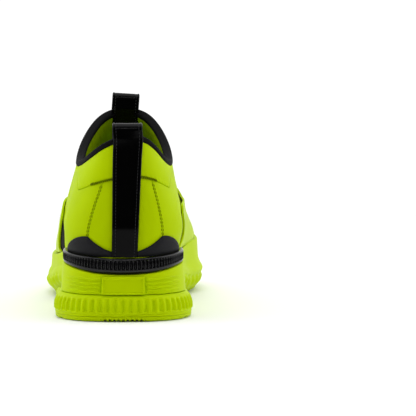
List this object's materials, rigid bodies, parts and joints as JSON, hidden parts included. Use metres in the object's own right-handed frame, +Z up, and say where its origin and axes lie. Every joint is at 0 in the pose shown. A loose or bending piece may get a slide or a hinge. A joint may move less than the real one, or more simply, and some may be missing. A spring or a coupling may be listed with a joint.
{
  "type": "running shoe",
  "caption": "Slip-on running shoe for the left foot: moulded foam sole, fluted heel base, ribbed black heel band, bonded upper, crossing straps and pull loops at heel and instep.",
  "frame": {"origin": "bottom centre of the shoe's bounding box, on the ground", "axes": "+Z up, +Y from heel to toe, +X towards the inner (medial) side of the left foot"},
  "size_m": [0.1046, 0.276, 0.1345],
  "materials": {
    "rubber_neon": "matt moulded rubber, neon yellow-green",
    "foam_neon": "satin moulded foam, neon yellow-green",
    "rubber_black": "semi-gloss moulded rubber, black",
    "coated_fabric_black": "matt coated textile, black",
    "board": "plain lasting board, off-white",
    "insole_fabric": "brushed knit over foam, neon yellow-green",
    "lining_fabric": "fine warp knit, neon yellow-green",
    "stiffener": "thermoplastic sheet, off-white",
    "pad_foam": "open-cell foam, off-white",
    "shell_fabric": "bonded stretch textile, neon yellow-green",
    "knit_black": "elastic knit, black",
    "overlay": "welded satin film, neon yellow-green",
    "binding_black": "folded elastic binding, black",
    "patent_black": "patent-coated webbing, black"
  },
  "bodies": {
    "shoe": {"outsole_heel": "rubber_neon", "outsole_forefoot": "rubber_neon", "heel_base": "foam_neon", "midsole": "foam_neon", "heel_plate": "foam_neon", "heel_band": "rubber_black", "heel_mudguard": "coated_fabric_black", "strobel_board": "board", "sockliner": "insole_fabric", "lining": "lining_fabric", "heel_counter": "stiffener", "collar_foam": "pad_foam", "toe_puff": "stiffener", "heel_panel": "shell_fabric", "quarter_lateral": "shell_fabric", "quarter_medial": "shell_fabric", "ankle_pad": "shell_fabric", "vamp_knit": "knit_black", "toe_cap": "overlay", "forefoot_wing_lateral": "overlay", "forefoot_wing_medial": "overlay", "cross_strap_lateral": "overlay", "cross_strap_medial": "overlay", "collar_binding": "binding_black", "heel_strap": "patent_black", "heel_loop_tail": "patent_black", "front_loop_tail": "patent_black", "front_loop_tab": "patent_black"},
    "heel_loop": {"heel_loop": "patent_black"},
    "front_loop": {"front_loop": "patent_black"}
  },
  "joints": [
    {"name": "heel_loop_bend", "type": "hinge", "parent": "shoe", "child": "heel_loop", "pos_m": [0.00132, -0.12289, 0.1115], "axis": [1, 0, 0], "range_deg": [-30, 35], "stiffness_Nm_per_rad": 0.01},
    {"name": "front_loop_bend", "type": "hinge", "parent": "shoe", "child": "front_loop", "pos_m": [0.00008, -0.00522, 0.122], "axis": [1, 0, 0], "range_deg": [-25, 30], "stiffness_Nm_per_rad": 0.01}
  ]
}
